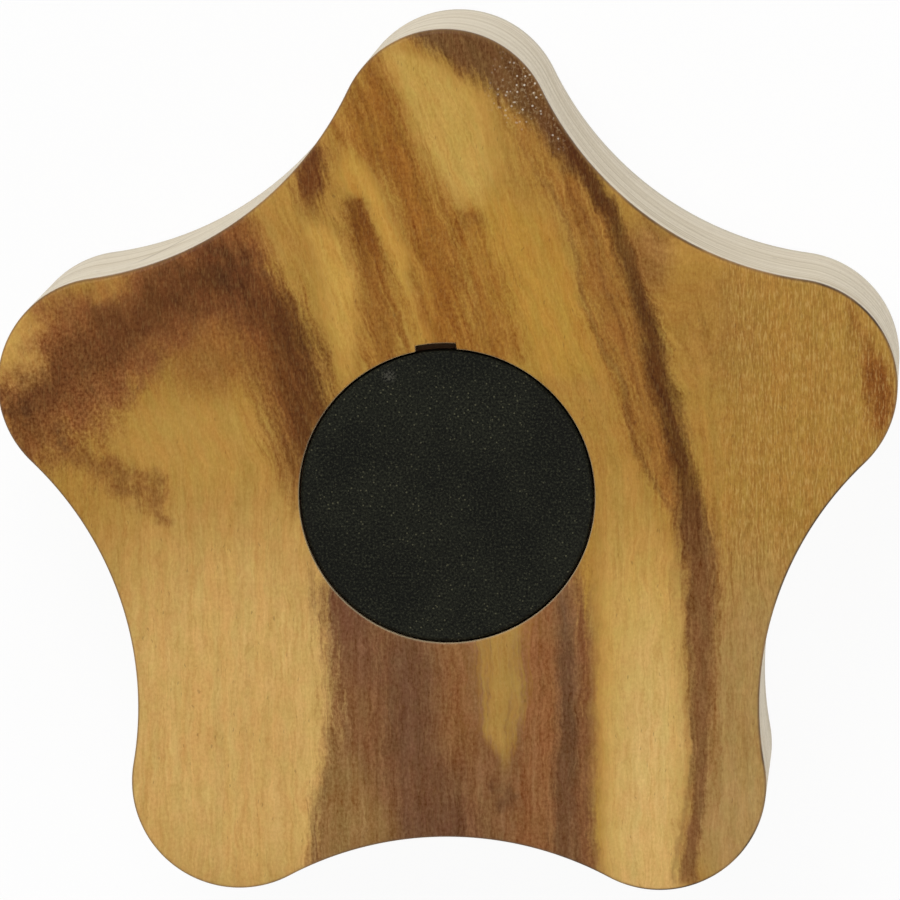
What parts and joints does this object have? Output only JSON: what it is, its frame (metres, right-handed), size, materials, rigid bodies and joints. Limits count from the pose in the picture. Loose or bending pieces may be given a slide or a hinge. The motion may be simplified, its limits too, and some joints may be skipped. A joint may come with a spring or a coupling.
{
  "type": "tap knob",
  "caption": "Star-shaped wooden tap knob with a figured face, a flush black centre cap and a serrated brass socket for the spindle.",
  "frame": {"origin": "centre of the spindle socket's mouth, in the plane of the knob's back face", "axes": "+Z along the spindle axis, out of the front face; +Y through the tip of one lobe, beside the pry notch"},
  "size_m": [0.0616, 0.0593, 0.018],
  "materials": {
    "pale_wood": "satin varnish",
    "figured_wood": "satin varnish",
    "brass": "turned",
    "steel": "bright",
    "black_plastic": "matte"
  },
  "bodies": {
    "root": {"knob_body": "pale_wood", "face_veneer": "figured_wood", "hub_insert": "brass", "washer": "steel", "fixing_screw": "steel", "centre_cap": "black_plastic"}
  },
  "joints": []
}
